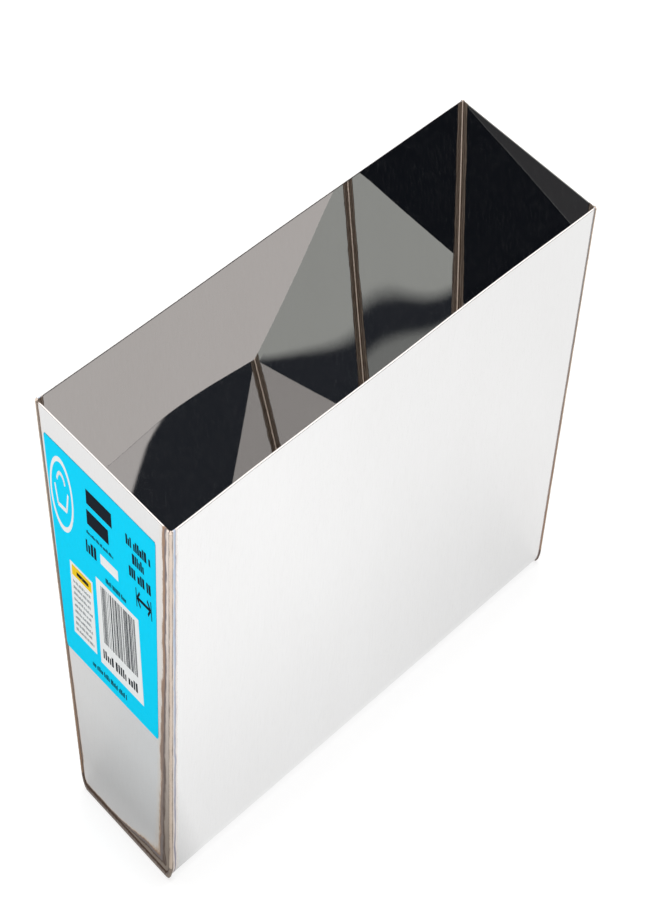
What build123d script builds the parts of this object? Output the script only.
from build123d import *

import os
from math import atan2, cos, radians, sin, tan

# Drywall mud pan: a tapered trough of thin polished stainless sheet.
# One sheet is folded into the front wall, the bottom and the back wall, and a flat plate
# closes each end. The edges of the sheets meet in an open corner, which a weld fills right
# through: one run down the front corner, one along the bottom edge and round both folds,
# and one up the back corner. An adhesive label is stuck on one end plate.
# Nothing on the pan moves.
#
# Frame: the origin is the centre of the flat underside, which rests on Z = 0. +Z is up,
# +X runs along the pan to its plain end and -X to its labelled end. Sizes are millimetres.

# Driving dimensions of the pan, all over the outside.
RIM_LENGTH = 305.0
RIM_WIDTH = 93.0
BASE_LENGTH = 267.0
BASE_WIDTH = 61.0
DEPTH = 80.0
SHEET = 0.7
BEND_RADIUS = 4.0

# Weld bead: its centre line lies inside the corner, so it stands a little proud outside
# and shows as a small root bead inside. The gap between the sheet edges lets it through.
WELD_RADIUS = 1.0
WELD_INSET = 0.6
ROOT_GAP = 0.3

# Label, narrower at its foot like the end plate. Its foot is measured up the plate.
LABEL_TOP_WIDTH = 77.0
LABEL_BASE_WIDTH = 63.0
LABEL_HEIGHT = 45.5
LABEL_FOOT = 31.0
LABEL_OFF_CENTRE = 3.3
LABEL_THICKNESS = 0.15
LABEL_CORNER = 0.8

# Worked out from the driving dimensions.
SIDE_LEAN = atan2((RIM_WIDTH - BASE_WIDTH) / 2, DEPTH)
END_LEAN = atan2((RIM_LENGTH - BASE_LENGTH) / 2, DEPTH)
FOLD_TOP = BEND_RADIUS * tan((radians(90) - SIDE_LEAN) / 2) * cos(SIDE_LEAN)
PLATE_INSET = SHEET + ROOT_GAP / 2
PAST_RIM = 4.0

os.makedirs("parts", exist_ok=True)


def end_plane(side, inset):
    """Plane of the end at side -1 or +1 along X, inset from the end's outer face.
    It faces out of the pan, with its own Y up the end and its origin at the foot."""
    outward = Vector(side * cos(END_LEAN), 0, -sin(END_LEAN))
    foot = Vector(side * BASE_LENGTH / 2, 0, 0)
    return Plane(origin=foot - outward * inset, x_dir=(0, side, 0), z_dir=outward)


def section_line(inset, top):
    """The trough's section, inset from its outside, as a line: down the back wall, round
    the fold, across the bottom, round the other fold and up the front wall to height top."""
    half_base = BASE_WIDTH / 2 - inset * (1 / cos(SIDE_LEAN) - tan(SIDE_LEAN))
    half_top = half_base + (top - inset) * tan(SIDE_LEAN)
    corners = [(half_top, top), (half_base, inset), (-half_base, inset), (-half_top, top)]
    return FilletPolyline(*corners, radius=BEND_RADIUS - inset)


# Folded trough sheet: the section run along X, with its ends cut to the lean of the ends.
with BuildPart() as trough_sheet:
    with BuildSketch(Plane.YZ):
        with BuildLine():
            outer_line = section_line(0, DEPTH)
            inner_line = section_line(SHEET, DEPTH)
            Line(outer_line @ 0, inner_line @ 0)
            Line(outer_line @ 1, inner_line @ 1)
        make_face()
    extrude(amount=RIM_LENGTH / 2, both=True)
    split(bisect_by=end_plane(-1, PLATE_INSET), keep=Keep.BOTTOM)
    split(bisect_by=end_plane(1, PLATE_INSET), keep=Keep.BOTTOM)
trough_sheet.part.label = "trough_sheet"
export_step(trough_sheet.part, "parts/trough_sheet.step")


def filled_half(side, inset, top, end_inset):
    """Solid that fills one half of the trough's section out to an inset plane of the end."""
    with BuildPart() as half:
        with BuildSketch(Plane.YZ):
            with BuildLine():
                line = section_line(inset, top)
                Line(line @ 0, line @ 1)
            make_face()
        extrude(amount=side * RIM_LENGTH)
        split(bisect_by=end_plane(side, end_inset), keep=Keep.BOTTOM)
    return half.part


def end_plate(side):
    """Flat tapered plate that closes one end, a root gap inside the trough sheet."""
    with BuildPart() as plate:
        add(filled_half(side, PLATE_INSET, DEPTH, 0))
        split(bisect_by=end_plane(side, SHEET), keep=Keep.TOP)
    return plate


def weld_bead(side, plate):
    """The whole weld round one end plate, cut back to both sheets, level with the rim and
    ground flush underneath, so that the pan sits flat."""
    weld_core = filled_half(side, WELD_INSET, DEPTH + PAST_RIM, WELD_INSET)
    end_face = weld_core.faces().sort_by(Axis.X)[-1 if side > 0 else 0]
    centre_line = Wire(end_face.edges().sort_by(Axis.Z)[:-1])
    with BuildPart() as bead:
        with BuildSketch(Plane(origin=centre_line @ 0, z_dir=centre_line % 0)):
            Circle(WELD_RADIUS)
        sweep(path=centre_line)
        split(bisect_by=Plane.XY.offset(DEPTH), keep=Keep.BOTTOM)
        split(bisect_by=Plane.XY, keep=Keep.TOP)
        add(trough_sheet.part, mode=Mode.SUBTRACT)
        add(plate.part, mode=Mode.SUBTRACT)
    return bead


def weld_runs(bead):
    """The bead's three runs by name: it is laid as two corner runs and one base run."""
    with BuildPart() as base_run:
        add(bead.part)
        split(bisect_by=Plane.XY.offset(FOLD_TOP), keep=Keep.BOTTOM)
    with BuildPart() as front_run:
        add(bead.part)
        split(bisect_by=Plane.XY.offset(FOLD_TOP), keep=Keep.TOP)
        split(bisect_by=Plane.XZ, keep=Keep.TOP)
    with BuildPart() as back_run:
        add(bead.part)
        split(bisect_by=Plane.XY.offset(FOLD_TOP), keep=Keep.TOP)
        split(bisect_by=Plane.XZ, keep=Keep.BOTTOM)
    return {"base_weld": base_run, "front_weld": front_run, "back_weld": back_run}


# The two ends: each is a plate and the three weld runs round it.
for end_name, side in (("label_end", -1), ("plain_end", 1)):
    plate = end_plate(side)
    plate.part.label = end_name + "_plate"
    export_step(plate.part, "parts/" + plate.part.label + ".step")
    for run_name, run in weld_runs(weld_bead(side, plate)).items():
        run.part.label = end_name + "_" + run_name
        export_step(run.part, "parts/" + run.part.label + ".step")

# Adhesive label: a thin film on the outer face of the labelled end's plate.
with BuildPart() as label_film:
    with BuildSketch(end_plane(-1, 0)) as film_outline:
        with BuildLine():
            Polyline(
                (-LABEL_OFF_CENTRE - LABEL_BASE_WIDTH / 2, LABEL_FOOT),
                (-LABEL_OFF_CENTRE + LABEL_BASE_WIDTH / 2, LABEL_FOOT),
                (-LABEL_OFF_CENTRE + LABEL_TOP_WIDTH / 2, LABEL_FOOT + LABEL_HEIGHT),
                (-LABEL_OFF_CENTRE - LABEL_TOP_WIDTH / 2, LABEL_FOOT + LABEL_HEIGHT),
                close=True,
            )
        make_face()
        fillet(film_outline.vertices(), LABEL_CORNER)
    extrude(amount=LABEL_THICKNESS)
label_film.part.label = "label_film"
export_step(label_film.part, "parts/label_film.step")
